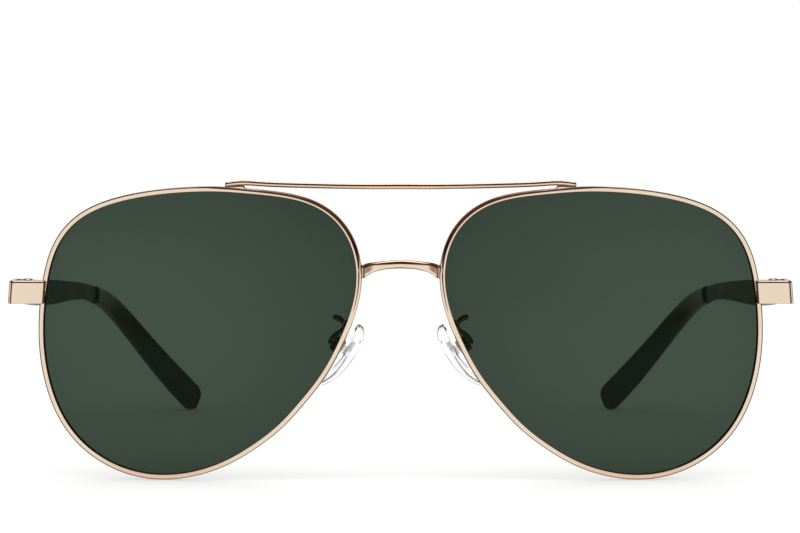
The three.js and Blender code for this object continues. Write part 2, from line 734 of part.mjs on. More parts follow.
const fixed = [front, front];
addPair(fixed, "rim", rim, gold);
addPair(fixed, "lens", makeLens(), tint);
addPair(fixed, "brow_bar_foot", browFoot, gold);
addPair(fixed, "end_piece", makeEndPiece(), gold);
addPair(fixed, "closing_block_upper", closingBlock(BLOCK_HIGH), gold);
addPair(fixed, "closing_block_lower", closingBlock(BLOCK_LOW), gold);
addPair(fixed, "closing_screw", closingScrew, steel);
addPair(fixed, "front_hinge", makeFrontHinge(), gold);
addPair(fixed, "hinge_screw", hingeScrew, steel);
addPair(fixed, "pad_arm", makePadArm(), gold);
addPair(fixed, "pad_box", makePadBox(), gold);
addPair(fixed, "pad_screw", makePadScrew(), steel);

addPair(temples, "temple_hinge", makeTempleHinge(), gold);
addPair(temples, "temple_arm", makeTempleArm(), blackMetal);
addPair(temples, "temple_tip", makeTempleTip(), acetate);

addPair(pads, "nose_pad", makeNosePad(), silicone);
addPair(pads, "pad_insert", makePadInsert(), carrierPlastic);

// The middle of the footprint goes to x = y = 0 and the lowest point to z = 0
const extent = new THREE.Box3().setFromObject(glasses);
glasses.position.set(0, -(extent.min.y + extent.max.y) / 2, -extent.min.z);

export default glasses;
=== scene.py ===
"""Sunglasses: rose gold rims joined by a bridge and a brow bar, tinted lenses, clear nose
pads, and black temples that fold at a screwed hinge.

Pieces are drawn in mm in a design frame: x = 0 is the middle of the front, +X is the wearer's
left, +Y runs back along the temples and +Z is up. to_row() carries them into the row frame,
in metres. Paired pieces are drawn on the left and mirrored.
"""
import json
import math

import bmesh
import bpy
import numpy as np
from mathutils import Matrix, Vector

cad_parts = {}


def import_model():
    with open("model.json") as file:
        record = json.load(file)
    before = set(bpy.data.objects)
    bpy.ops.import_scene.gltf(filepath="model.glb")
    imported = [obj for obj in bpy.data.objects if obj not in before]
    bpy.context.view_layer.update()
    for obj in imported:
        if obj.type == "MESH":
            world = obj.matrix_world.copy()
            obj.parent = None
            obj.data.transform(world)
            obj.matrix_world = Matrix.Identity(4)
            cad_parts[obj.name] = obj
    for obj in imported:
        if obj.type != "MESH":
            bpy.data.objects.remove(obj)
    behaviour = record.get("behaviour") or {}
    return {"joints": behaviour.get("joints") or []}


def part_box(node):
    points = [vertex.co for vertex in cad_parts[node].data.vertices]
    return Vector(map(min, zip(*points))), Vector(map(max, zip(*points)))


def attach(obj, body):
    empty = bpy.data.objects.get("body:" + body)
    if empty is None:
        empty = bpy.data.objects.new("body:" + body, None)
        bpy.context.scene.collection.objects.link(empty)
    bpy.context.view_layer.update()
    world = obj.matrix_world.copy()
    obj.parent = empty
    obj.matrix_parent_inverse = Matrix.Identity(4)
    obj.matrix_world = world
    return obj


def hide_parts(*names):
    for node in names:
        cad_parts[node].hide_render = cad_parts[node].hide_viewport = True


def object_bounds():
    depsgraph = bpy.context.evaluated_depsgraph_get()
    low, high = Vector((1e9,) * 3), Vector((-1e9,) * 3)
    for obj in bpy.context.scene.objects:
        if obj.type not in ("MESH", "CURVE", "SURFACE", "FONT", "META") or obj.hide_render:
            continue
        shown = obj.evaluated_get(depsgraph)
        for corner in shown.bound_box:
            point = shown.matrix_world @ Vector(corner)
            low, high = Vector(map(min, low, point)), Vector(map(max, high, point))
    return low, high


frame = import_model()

CAD_BOX = [list(corner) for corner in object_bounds()]

# ============================================================ main sizes, mm
LENS_X, LENS_Z = 37.838, 27.502              # middle of the left lens
LENS_CURVE = 103.0                           # radius of the lens surface
LENS_THICK = 1.1
FACE_FORM = math.tan(math.radians(5))        # how the lenses sweep back towards the temples
FRONT_DEPTH = 1.2                            # y at the middle of the lens
# Distance from the lens middle to its outline every 10 degrees, from +X towards +Z
LENS_RADII = [
    29.49, 29.69, 30.40, 31.20, 31.24, 30.17, 28.67, 27.46, 26.79, 26.64, 27.03, 27.97,
    29.68, 31.84, 33.17, 32.95, 31.45, 29.14, 26.83, 25.14, 23.84, 22.93, 22.55, 22.56,
    22.84, 23.47, 24.44, 25.62, 26.90, 28.19, 29.26, 29.98, 30.35, 30.26, 29.89, 29.58]
LENS_AXIS = np.array([-FACE_FORM, 1.0, 0.0]) / math.hypot(FACE_FORM, 1.0)
HINGE = (70.95, 14.6)                        # x, y of the hinge pin
HINGE_Z = 35.0
UP, BACK = (0, 0, 1), (0, 1, 0)

# The fold joint is known in both frames, which gives the shift between them
FOLD = next(j for j in frame["joints"] if j["name"] == "temple_fold_left")["pos_m"]
SHIFT = np.array(FOLD) * 1e3 - np.array([*HINGE, HINGE_Z])


def to_row(points):
    return (np.asarray(points, float) + SHIFT) * 1e-3


# ============================================================ mesh tools
def mesh_object(points, faces):
    mesh = bpy.data.meshes.new("piece")
    mesh.from_pydata([tuple(map(float, p)) for p in points], [],
                     [tuple(map(int, f)) for f in faces])
    mesh.validate()
    piece = bpy.data.objects.new("piece", mesh)
    bpy.context.scene.collection.objects.link(piece)
    return piece


def outward(piece):
    """Merges doubled points and turns the faces outwards."""
    bm = bmesh.new()
    bm.from_mesh(piece.data)
    bmesh.ops.remove_doubles(bm, verts=bm.verts, dist=1e-5)
    bmesh.ops.recalc_face_normals(bm, faces=bm.faces)
    bm.to_mesh(piece.data)
    bm.free()
    return piece


def applied(piece):
    graph = bpy.context.evaluated_depsgraph_get()
    graph.update()
    mesh = bpy.data.meshes.new_from_object(piece.evaluated_get(graph), depsgraph=graph)
    piece.modifiers.clear()
    old, piece.data = piece.data, mesh
    bpy.data.meshes.remove(old)
    return piece


def boolean(piece, others, operation):
    for other in others:
        modifier = piece.modifiers.new("cut", "BOOLEAN")
        modifier.object, modifier.operation, modifier.solver = other, operation, "EXACT"
        applied(piece)
        bpy.data.objects.remove(other)
    return piece


def union(piece, *others):
    return boolean(piece, others, "UNION")


def cut(piece, *others):
    return boolean(piece, others, "DIFFERENCE")


def bevel(piece, width, segments=2):
    modifier = piece.modifiers.new("bevel", "BEVEL")
    modifier.width, modifier.segments, modifier.limit_method = width, segments, "ANGLE"
    modifier.angle_limit = math.radians(40)
    modifier.miter_outer = "MITER_ARC"
    modifier.use_clamp_overlap = True
    return applied(piece)


def moved(piece, place):
    """Passes the piece's points through place() and returns them."""
    points = np.zeros(len(piece.data.vertices) * 3)
    piece.data.vertices.foreach_get("co", points)
    points = place(points.reshape(-1, 3))
    piece.data.vertices.foreach_set("co", points.astype(np.float32).ravel())
    piece.data.update()
    return points


def skin(rings, caps=True):
    """Points and faces over matching rings."""
    count, last = len(rings[0]), len(rings) - 1
    points = np.concatenate([np.asarray(ring, float) for ring in rings])
    faces = []
    for i in range(last):
        here, there = i * count, (i + 1) * count
        for j in range(count):
            k = (j + 1) % count
            faces.append((here + j, here + k, there + k, there + j))
    if caps:
        faces.append(tuple(reversed(range(count))))
        faces.append(tuple(range(last * count, (last + 1) * count)))
    return points, faces


def loft(rings):
    return outward(mesh_object(*skin(rings)))


def unit(vector):
    vector = np.asarray(vector, float)
    return vector / np.linalg.norm(vector, axis=-1, keepdims=True)


def across(axis):
    """A direction square to the axis."""
    return unit(np.cross(axis, [0, 0, 1.0] if abs(axis[2]) < 0.9 else [1.0, 0, 0]))


def placed(section, origin, first, second):
    """A flat section laid out from the origin along two directions."""
    return origin + section[:, :1] * first + section[:, 1:] * second


def spline(knots, steps):
    """Natural cubic spline through the knots, sampled at even steps of its parameter."""
    knots = np.asarray(knots, float)
    chords = np.linalg.norm(np.diff(knots, axis=0), axis=1) ** 0.8
    reach = np.concatenate([[0], np.cumsum(chords)])
    gaps = np.diff(reach)
    count = len(knots)
    system, target = np.zeros((count, count)), np.zeros(knots.shape)
    system[0, 0] = system[-1, -1] = 1
    for i in range(1, count - 1):
        before, after = gaps[i - 1], gaps[i]
        system[i, i - 1:i + 2] = before, 2 * (before + after), after
        target[i] = 6 * ((knots[i + 1] - knots[i]) / after - (knots[i] - knots[i - 1]) / before)
    bend = np.linalg.solve(system, target)
    at = np.linspace(0, reach[-1], steps)
    i = np.clip(np.searchsorted(reach, at, side="right") - 1, 0, count - 2)
    left, past, gap = (reach[i + 1] - at)[:, None], (at - reach[i])[:, None], gaps[i][:, None]
    return ((bend[i] * left ** 3 + bend[i + 1] * past ** 3) / (6 * gap)
            + (knots[i] / gap - bend[i] * gap / 6) * left
            + (knots[i + 1] / gap - bend[i + 1] * gap / 6) * past)


def circle(sides):
    angles = np.arange(sides) * 2 * np.pi / sides
    return np.stack([np.cos(angles), np.sin(angles)], 1)


def squircle(width, height, power, sides):
    cos, sin = circle(sides).T
    return np.stack([width * np.sign(cos) * abs(cos) ** (2 / power),
                     height * np.sign(sin) * abs(sin) ** (2 / power)], 1)


def angle_between(first, second):
    return math.acos(max(-1, min(1, float(unit(first) @ unit(second)))))


def rounded(corners, radius, steps):
    """A closed outline with round corners, smaller where the sides are short."""
    corners = np.asarray(corners, float)
    outline = []
    for i, corner in enumerate(corners):
        before, after = corners[i - 1] - corner, corners[(i + 1) % len(corners)] - corner
        half = angle_between(before, after) / 2
        trim = min(radius / math.tan(half), 0.49 * np.linalg.norm(before),
                   0.49 * np.linalg.norm(after))
        before, after = unit(before), unit(after)
        fitted = trim * math.tan(half)
        centre = corner + unit(before + after) * (fitted / math.sin(half))
        start, end = corner + before * trim - centre, corner + after * trim - centre
        sweep = angle_between(start, end)
        if start[0] * end[1] - start[1] * end[0] <= 0:
            sweep = -sweep
        for k in range(steps + 1):
            cos, sin = math.cos(sweep * k / steps), math.sin(sweep * k / steps)
            outline.append(centre + np.array([start[0] * cos - start[1] * sin,
                                              start[0] * sin + start[1] * cos]))
    return np.array(outline)


def arc(x, y, radius, start, end, steps):
    angles = np.radians(np.linspace(start, end, steps + 1))
    return [(x + radius * math.cos(a), y + radius * math.sin(a)) for a in angles]


def tube(path, radii, sides):
    """A round wire whose section is carried along the path without twisting."""
    tangents = unit(np.gradient(path, axis=0))
    side = across(tangents[0])
    rings = []
    for point, tangent, radius in zip(path, tangents, radii):
        side = unit(side - (side @ tangent) * tangent)
        rings.append(point + radius * placed(circle(sides), 0, side, np.cross(tangent, side)))
    return loft(rings)


def at_height(outline, z):
    return np.column_stack([outline, np.full(len(outline), z)])


def prism(outline, low, high):
    return loft([at_height(outline, z) for z in (low, high)])


def block(x, y, z):
    return prism([(x[0], y[0]), (x[1], y[0]), (x[1], y[1]), (x[0], y[1])], *z)


def lathe(profile, origin, axis, sides):
    """A turned body: rows of (along, radius) from one end of the axis to the other."""
    axis = unit(axis)
    first = across(axis)
    ring = placed(circle(sides), 0, first, np.cross(axis, first))
    return loft([np.asarray(origin) + along * axis + radius * ring for along, radius in profile])


def rod(radius, span, origin, axis, sides):
    return lathe([(along, radius) for along in span], origin, axis, sides)


# ============================================================ material tools
def node(tree, kind, inputs, **settings):
    """Adds a node, links or sets its inputs, and returns its outputs."""
    made = tree.nodes.new("ShaderNode" + kind)
    for key, value in settings.items():
        setattr(made, key, value)
    for key, value in inputs.items():
        socket = made.inputs[key]
        if isinstance(value, bpy.types.NodeSocket):
            tree.links.new(value, socket)
        else:
            socket.default_value = (*value, 1) if socket.type == "RGBA" else value
    return made.outputs


def new_material(name):
    material = bpy.data.materials.new(name)
    material.use_nodes = True
    material.node_tree.nodes.clear()
    return material, material.node_tree


def coords(tree, scale=(1.0, 1.0, 1.0)):
    place = node(tree, "TexCoord", {})["Object"]
    return node(tree, "Mapping", {"Vector": place, "Scale": scale})[0]


def noise(tree, where, scale, detail=3, rough=0.5):
    return node(tree, "TexNoise", {"Vector": where, "Scale": scale, "Detail": detail,
                                   "Roughness": rough})["Fac"]


def spread(tree, value, low=0, high=1, start=0.3, end=0.7, **settings):
    """Maps start..end of the value to low..high."""
    return node(tree, "MapRange", {"Value": value, "From Min": start, "From Max": end,
                                   "To Min": low, "To Max": high}, **settings)[0]


def varied(tree, where, low, high, **pattern):
    """A value that drifts between low and high over the surface."""
    return spread(tree, noise(tree, where, **pattern), low, high)


def mix_colour(tree, share, first, second, blend="MIX"):
    return node(tree, "Mix", {0: share, 6: first, 7: second},
                data_type="RGBA", blend_type=blend)[2]


def two_tone(tree, where, light, dark, **pattern):
    return mix_colour(tree, varied(tree, where, 0, 1, **pattern), light, dark)


def bump(tree, height, strength, distance):
    return node(tree, "Bump", {"Height": height, "Strength": strength,
                               "Distance": distance})["Normal"]


def maths(tree, operation, *values):
    return node(tree, "Math", dict(enumerate(values)), operation=operation)[0]


def mix_shader(tree, share, first, second):
    return node(tree, "MixShader", {0: share, 1: first, 2: second})[0]


def principled(tree, inputs):
    return node(tree, "BsdfPrincipled", inputs)[0]


# ============================================================ materials
def plated(name, light, dark, rough, edge, painted_edge_shade, grain=0.0, painted_contact_reflection=False):
    """Polished plating: slow tone shifts, polishing marks, soft haze, and painted shade where the
    surface turns away, darkening the colour over the edge range of the facing value in place of
    darker surroundings reflected there."""
    material, tree = new_material(name)
    where = coords(tree)
    body = two_tone(tree, where, light, dark, scale=90)
    if painted_contact_reflection:                                 # painted reflection: the lowest few mm take a reddish tone, standing in for the floor contact reflected there
        height = node(tree, "SeparateXYZ", {0: where})["Z"]
        painted_contact_share = spread(tree, height, low=1, high=0, start=0.0012, end=0.0046)
        body = mix_colour(tree, painted_contact_share, body, (0.72, 0.50, 0.37))
    # Painted shade: where the surface turns from view, the colour is mixed towards the painted
    # shade colour, standing in for darker surroundings reflected at rounded edges.
    facing = node(tree, "LayerWeight", {"Blend": 0.5})["Facing"]
    turned = spread(tree, facing, start=edge[0], end=edge[1])
    marks = noise(tree, coords(tree, (1.0, 1.0, 7.0)), scale=2600, detail=2)
    surface = principled(tree, {
        "Metallic": 1.0,
        "Base Color": mix_colour(tree, turned, body, painted_edge_shade),
        "Specular Tint": (0.75, 0.6, 0.5),
        "Roughness": varied(tree, where, low=rough * 0.75, high=rough * 1.5,
                            scale=420, detail=4, rough=0.6),
        "Normal": bump(tree, marks, strength=0.08 + grain, distance=0.000012)})
    node(tree, "OutputMaterial", {"Surface": surface})
    return material


def lacquer(name, light, dark, rough, coat, grain_scale, grain):
    material, tree = new_material(name)
    where = coords(tree)
    surface = principled(tree, {
        "Base Color": two_tone(tree, where, light, dark, scale=60),
        "Roughness": varied(tree, where, low=rough * 0.8, high=rough * 1.3,
                            scale=350, rough=0.6),
        "IOR": 1.5,
        "Coat Weight": coat,
        "Coat Roughness": 0.08,
        "Normal": bump(tree, noise(tree, where, scale=grain_scale, detail=2),
                       strength=grain, distance=0.00002)})
    node(tree, "OutputMaterial", {"Surface": surface})
    return material


def lens_tint():
    """Both surfaces of a lens tint the light; the tint is lightest at |x| 50 mm, z 30 mm."""
    material, tree = new_material("lens_tint")
    where = coords(tree)
    gloss = principled(tree, {
        "Base Color": two_tone(tree, where, light=(0.0016, 0.0046, 0.0020),
                               dark=(0.0022, 0.0056, 0.0026), scale=22, detail=2),
        "Roughness": varied(tree, where, low=0.015, high=0.035, scale=500),
        "IOR": 1.5,
        "Specular IOR Level": 0.03})

    def squared_offset(value, middle, reach, weight):
        offset = maths(tree, "MULTIPLY", maths(tree, "SUBTRACT", value, middle), 1 / reach)
        return maths(tree, "MULTIPLY", maths(tree, "MULTIPLY", offset, offset), weight)

    x, y, z = node(tree, "SeparateXYZ", {0: where})
    fall = maths(tree, "ADD",
                 squared_offset(maths(tree, "ABSOLUTE", x), middle=0.050, reach=0.034,
                                weight=0.085),
                 squared_offset(z, middle=0.030, reach=0.025, weight=0.10))
    patch = varied(tree, where, low=-0.012, high=0.012, scale=35, detail=2)
    passed = maths(tree, "ADD", maths(tree, "SUBTRACT", 1.03, fall), patch)
    colour = node(tree, "VectorMath", {0: (0.782, 0.925, 0.803), "Scale": passed},
                  operation="SCALE")[0]
    clear_part = node(tree, "BsdfTransparent", {"Color": colour})[0]
    surface = mix_shader(tree, 0.72, clear_part, gloss)    # share of the glossy part
    node(tree, "OutputMaterial", {"Surface": surface})
    return material


def clear(name, colour, rough, ior):
    material, tree = new_material(name)
    where = coords(tree)
    darker = tuple(c * 0.97 for c in colour)
    surface = principled(tree, {
        "Base Color": two_tone(tree, where, colour, darker, scale=300, detail=2),
        "Roughness": varied(tree, where, low=rough * 0.6, high=rough * 1.4, scale=900),
        "IOR": ior,
        "Transmission Weight": 1.0})
    node(tree, "OutputMaterial", {"Surface": surface})
    return material


# Each plating below is mixed towards its painted shade colour where the surface turns from view:
# painted shade standing in for darker surroundings reflected at rounded edges. The rim's low
# facing range gives it wide painted dark outlines, and its lowest few mm carry a painted reddish
# reflection of the floor contact.
GOLD = plated("rose_gold_plating", light=(0.82, 0.675, 0.53), dark=(0.78, 0.625, 0.485),
              rough=0.085, edge=(0.40, 0.74), painted_edge_shade=(0.10, 0.045, 0.028))
GOLD_RIM = plated("rose_gold_rim", light=(0.81, 0.665, 0.525), dark=(0.77, 0.62, 0.475),
                  rough=0.10, edge=(0.06, 0.26), painted_edge_shade=(0.13, 0.06, 0.035), painted_contact_reflection=True)
GOLD_PLATE = plated("rose_gold_plate", light=(0.80, 0.665, 0.52), dark=(0.76, 0.62, 0.475),
                    rough=0.08, edge=(0.47, 0.60), painted_edge_shade=(0.10, 0.035, 0.022))
GOLD_INNER = plated("rose_gold_tumbled", light=(0.74, 0.59, 0.46), dark=(0.64, 0.49, 0.37),
                    rough=0.22, edge=(0.4, 0.8), painted_edge_shade=(0.12, 0.06, 0.04), grain=0.1)
# Painted shade: the pad boxes sit in the lens's shade, so this copy of the plating is given a
# much darker colour than the lit gold.
GOLD_BOX_PAINTED_SHADE = plated("rose_gold_box_painted_shade", light=(0.30, 0.185, 0.125), dark=(0.24, 0.145, 0.10),
                  rough=0.22, edge=(0.3, 0.7), painted_edge_shade=(0.10, 0.04, 0.025), grain=0.1)
STEEL = plated("screw_steel", light=(0.66, 0.62, 0.57), dark=(0.54, 0.50, 0.46),
               rough=0.26, edge=(0.5, 0.9), painted_edge_shade=(0.2, 0.18, 0.16), grain=0.15)
BLACK_METAL = lacquer("black_satin_lacquer", light=(0.010, 0.011, 0.010),
                      dark=(0.006, 0.007, 0.006), rough=0.33, coat=0.0,
                      grain_scale=2400, grain=0.12)
ACETATE = lacquer("black_acetate", light=(0.004, 0.0045, 0.004), dark=(0.0025, 0.003, 0.0025),
                  rough=0.16, coat=0.2, grain_scale=900, grain=0.05)
LENS = lens_tint()
SILICONE = clear("clear_silicone", colour=(0.98, 0.985, 0.985), rough=0.05, ior=1.41)
CARRIER = clear("clear_carrier", colour=(0.70, 0.72, 0.72), rough=0.10, ior=1.45)

# ============================================================ keeping a finished piece
FRONT = ("front", "front")                   # bodies the left and right pieces ride on
TEMPLES = ("temple_left", "temple_right")
PADS = ("nose_pad_left", "nose_pad_right")
PLACE_TOLERANCE = 0.0025                     # m, from the middle of the CAD piece


def keep(piece, cad_node, material, body, angle, flats=False):
    """Shades a piece and puts it in place of its CAD node; edges over angle stay sharp."""
    piece.data.shade_smooth()
    piece.data.set_sharp_from_angle(angle=math.radians(angle))
    if flats:                                # flat faces stay flat beside rounded edges
        even = piece.modifiers.new("even", "WEIGHTED_NORMAL")
        even.mode, even.weight, even.keep_sharp = "FACE_AREA", 50, True
        applied(piece)
    piece.name = piece.data.name = cad_node + "_shape"
    points = moved(piece, to_row)
    middle = (points.min(0) + points.max(0)) / 2
    low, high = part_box(cad_node)
    offset = middle - (np.array(low) + np.array(high)) / 2
    assert abs(offset).max() < PLACE_TOLERANCE, (cad_node, offset)
    piece.data.materials.clear()
    piece.data.materials.append(material)
    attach(piece, body)
    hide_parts(cad_node)


def keep_pair(left, name, material, bodies, slot, angle=30, flats=False):
    """Keeps the left piece and a mirrored copy as the right one."""
    outward(left)
    right = left.copy()
    right.data = left.data.copy()
    bpy.context.scene.collection.objects.link(right)
    right.data.transform(Matrix.Scale(-1, 4, (1, 0, 0)))
    right.data.flip_normals()
    for side, piece, body in zip(("left", "right"), (left, right), bodies):
        keep(piece, f"{name}_{side}", material, body, angle, flats)


# ============================================================ lens outline
OUTLINE_WAVES = np.fft.rfft(LENS_RADII) / len(LENS_RADII)


def depth_at(x, z):
    """y of the front surface of the lens."""
    bow = ((x - LENS_X) ** 2 + (z - LENS_Z) ** 2) / (2 * LENS_CURVE)
    return FACE_FORM * (x - LENS_X) + bow + FRONT_DEPTH


def outline_at(angles):
    radius = np.full_like(angles, OUTLINE_WAVES[0].real)
    for k in range(1, 13):
        radius = radius + 2 * (OUTLINE_WAVES[k] * np.exp(1j * k * angles)).real
    x, z = LENS_X + radius * np.cos(angles), LENS_Z + radius * np.sin(angles)
    return np.stack([x, depth_at(x, z), z], -1)


def outline_frames(angles):
    """Points of the outline, with the directions out of the lens and back."""
    points = outline_at(angles)
    along = unit(outline_at(angles + 1e-4) - outline_at(angles - 1e-4))
    back = unit(LENS_AXIS - (along @ LENS_AXIS)[:, None] * along)
    return points, np.cross(back, along), back


# ============================================================ rims
SPLIT = math.radians(14.42)                  # where the rim is split, on its temple side
HALF_GAP = 0.15 / 30.1                       # 0.15 mm at a radius of 30.1 mm
RIM_WIDTH, RIM_FACE = 0.95, -0.45            # outer edge, and the flat front
ROUND_DROP = 0.27                            # depth of the round shoulder
SLOPE_END = 0.93
# Degrees round the rim; where the flat front ends; slope behind it in degrees; where that
# slope ends; slope of the rest in degrees
SHOULDER = np.array([
    [-10, 0.66, 0, 0.80, 0], [30, 0.64, 0, 0.80, 0], [75, 0.60, 0, 0.75, 0],
    [90, 0.52, 6, 0.74, 10], [100, 0.46, 15, 0.72, 32], [112, 0.40, 17, 0.70, 34],
    [124, 0.34, 21, 0.70, 36], [132, 0.31, 23, 0.82, 34], [140, 0.30, 25, 0.93, 28],
    [149, 0.34, 34, 0.88, 35], [156, 0.38, 37, 0.70, 30], [163, 0.36, 38, 0.56, 4],
    [169, 0.42, 37, 0.57, 0], [175, 0.52, 8, 0.66, 0], [188, 0.58, 0, 0.74, 0],
    [240, 0.64, 0, 0.80, 0], [292, 0.62, 0, 0.80, 0], [350, 0.66, 0, 0.80, 0]])
# Fixed parts of the section, (out, back): inner lip, then outer side, back and lens groove
RIM_LIP = [(0.0, -0.36), (0.03, -0.42), (0.08, -0.447), (0.13, RIM_FACE)]
RIM_BACK = [(RIM_WIDTH, 0.3), (RIM_WIDTH, 0.8), (RIM_WIDTH, 1.24), (0.92, 1.33), (0.85, 1.385),
            (0.75, 1.4), (0.25, 1.4), (0.15, 1.385), (0.06, 1.34), (0.0, 1.26), (0.0, 1.0),
            (0.43, 0.60), (0.45, 0.5), (0.43, 0.40), (0.0, 0.0), (0.0, -0.2)]


def rim_section(degrees):
    """Section of the rim wire: a flat front and round shoulder, which blend over the upper
    nose side into a front that falls away in two slopes."""
    window = np.linspace(degrees - 5, degrees + 5, 7)
    corner, first, bend, second = [
        float(np.mean(np.interp(window, SHOULDER[:, 0], column))) for column in SHOULDER.T[1:]]
    sloped = min(1.0, first / 14)

    def fall(out):
        return ((min(out, bend) - corner) * math.tan(math.radians(first))
                + max(out - bend, 0) * math.tan(math.radians(second)))

    reach = [corner + (bend - corner) * i / 5 for i in range(6)]
    reach += [bend + (SLOPE_END - bend) * i / 5 for i in range(1, 6)]
    slope = [(out, fall(out)) for out in reach]
    slope += [(0.944, fall(SLOPE_END) + 0.02), (RIM_WIDTH, fall(SLOPE_END) + 0.07)]
    flat_start = RIM_LIP[-1][0]
    front = [(flat_start + (corner - flat_start) * share, RIM_FACE) for share in (0.33, 0.66)]
    for turn, (out, drop) in zip(np.radians(np.linspace(0, 90, 13)), slope):
        round_out = corner + (RIM_WIDTH - corner) * math.sin(turn)
        round_drop = ROUND_DROP * (1 - math.cos(turn))
        front.append((round_out * (1 - sloped) + out * sloped,
                      RIM_FACE + round_drop * (1 - sloped) + drop * sloped))
    return np.array(RIM_LIP + front + RIM_BACK)


def rim():
    angles = np.linspace(SPLIT + HALF_GAP, SPLIT + 2 * math.pi - HALF_GAP, 420)
    rings = []
    for angle, point, out, back in zip(angles, *outline_frames(angles)):
        degrees = math.degrees(angle) % 360
        section = rim_section(degrees if degrees < 350 else degrees - 360)
        rings.append(placed(section, point, out, back))
    return loft(rings)


keep_pair(rim(), "rim", GOLD_RIM, FRONT, "gold_metal", 48)

# ============================================================ lenses
# Rings of each face, as shares of the outline
LENS_SHARES = [0.004, 0.08, 0.16, 0.25, 0.34, 0.43, 0.52, 0.61, 0.70, 0.79, 0.87, 0.94, 0.985]
# Edge of the lens with its ridge for the rim groove, (out, back)
LENS_EDGE = [(-0.07, 0.0), (-0.03, 0.03), (-0.02, 0.12), (0.36, 0.47), (0.36, 0.53),
             (-0.02, 0.88), (-0.03, 1.07), (-0.07, LENS_THICK)]


def lens():
    points, out, back = outline_frames(np.linspace(0, 2 * math.pi, 300, endpoint=False))

    def dome(share, behind):
        x = LENS_X + (points[:, 0] - LENS_X) * share
        z = LENS_Z + (points[:, 2] - LENS_Z) * share
        normal = unit(np.stack([-(FACE_FORM + (x - LENS_X) / LENS_CURVE), np.ones_like(x),
                                -(z - LENS_Z) / LENS_CURVE], -1))
        return np.stack([x, depth_at(x, z), z], -1) + behind * normal

    return loft([dome(share, 0.0) for share in LENS_SHARES]
                + [points + far * out + behind * back for far, behind in LENS_EDGE]
                + [dome(share, LENS_THICK) for share in reversed(LENS_SHARES)])


keep_pair(lens(), "lens", LENS, FRONT, "tinted_lens", 30)

# ============================================================ bridge and brow bar
# Stations from the middle to the left: x, y, z, height, depth
BRIDGE = np.array([
    [0, 2.3, 40.67, 1.47, 1.9], [1.4, 2.33, 40.62, 1.48, 1.9], [2.84, 2.45, 40.49, 1.53, 1.9],
    [4, 2.62, 40.3, 1.68, 1.85], [5, 2.85, 40.08, 1.87, 1.8], [5.64, 3.05, 39.9, 2.08, 1.75],
    [6.3, 3.3, 39.6, 2.4, 1.7], [6.7, 3.46, 39.33, 2.65, 1.66]])
BROW = np.array([
    [0, 3.3, 55.15, 0.88, 1.3], [7.43, 3.35, 55.14, 0.85, 1.3], [18.6, 3.6, 55.35, 0.86, 1.3],
    [26, 4.0, 55.62, 0.86, 1.3], [29.84, 4.35, 55.79, 0.86, 1.3], [31.5, 4.5, 55.64, 0.80, 1.25]])
# Rings past the last station: further out, further up, scale, further back
BRIDGE_END = [
    (0.12, -0.04, 0.99, 0.04), (0.21, -0.06, 0.96, 0.12), (0.26, -0.07, 0.90, 0.28),
    (0.30, -0.08, 0.90, 0.30), (0.34, -0.09, 0.95, 0.18), (0.39, -0.10, 0.98, 0.10),
    (0.50, -0.12, 0.98, 0.12), (0.62, -0.14, 0.95, 0.40), (1.0, -0.18, 0.8, 0.75)]
BROW_END = [
    (0.5, -0.07, 1.0, 0.02), (0.95, -0.13, 0.99, 0.04), (1.16, -0.16, 0.95, 0.05),
    (1.27, -0.18, 0.86, 0.06), (1.34, -0.19, 0.72, 0.07), (1.37, -0.19, 0.5, 0.07),
    (1.38, -0.19, 0.25, 0.07)]


def crossbar(stations, end, power, steps, leans):
    """A bar across both sides. Its front looks up by the leans, in degrees, given at the
    middle, 0.6 of the way out and the last station."""
    def ring(x, y, z, height, depth):
        lean = math.radians(np.interp(abs(x) / stations[-1][0], (0, 0.6, 1), leans))
        cos, sin = math.cos(lean), math.sin(lean)
        section = squircle(depth / 2, height / 2, power, 56) @ np.array([[cos, -sin], [sin, cos]])
        return np.column_stack([np.full(56, x), y + section[:, 0], z + section[:, 1]])

    def tip(side):
        x, y, z, height, depth = stations[-1]
        return [ring(side * (x + out), y + back, z + up, height * scale, depth * scale)
                for out, up, scale, back in end]

    mirrored = stations[1:][::-1] * [-1, 1, 1, 1, 1]
    bar = [ring(*row) for row in spline(np.concatenate([mirrored, stations]), steps)]
    return loft(tip(-1)[::-1] + bar + tip(1))


keep(crossbar(BRIDGE, BRIDGE_END, power=3.0, steps=90, leans=(18, 9, -7)),
     "bridge", GOLD, "front", 50)
keep(crossbar(BROW, BROW_END, power=3.5, steps=120, leans=(17, 17, 13)),
     "brow_bar", GOLD, "front", 50)

# ------------------------------------------------------------ brow bar feet
# Sections along x: x, bottom z, top z, y, depth
FOOT = [
    (28.95, 54.62, 54.72, 4.42, 0.3), (29.05, 54.6, 54.9, 4.42, 0.7),
    (29.2, 54.6, 55.1, 4.42, 0.9), (29.36, 54.6, 55.45, 4.42, 0.95),
    (29.44, 54.6, 55.72, 4.42, 0.97), (29.9, 54.6, 55.75, 4.42, 0.97),
    (30.6, 54.62, 55.65, 4.45, 0.97), (31.2, 54.65, 55.6, 4.5, 0.93),
    (31.8, 54.72, 55.5, 4.5, 0.85), (32.1, 54.8, 55.42, 4.5, 0.7), (32.25, 54.9, 55.3, 4.5, 0.4)]


def foot_ring(x, low, high, y, depth):
    """An upright section whose front face leans back above its lower 0.4."""
    height, half = high - low, depth / 2
    knee = low + 0.40 * height
    section = rounded([(-half, low), (-half, knee), (-half + 0.30 * (high - knee), high),
                       (half, high), (half, low)], min(0.1, 0.3 * height, 0.3 * depth), 3)
    return np.column_stack([np.full(len(section), x), y + section[:, 0], section[:, 1]])


keep_pair(loft([foot_ring(*row) for row in FOOT]), "brow_bar_foot", GOLD, FRONT,
          "gold_metal", 40)

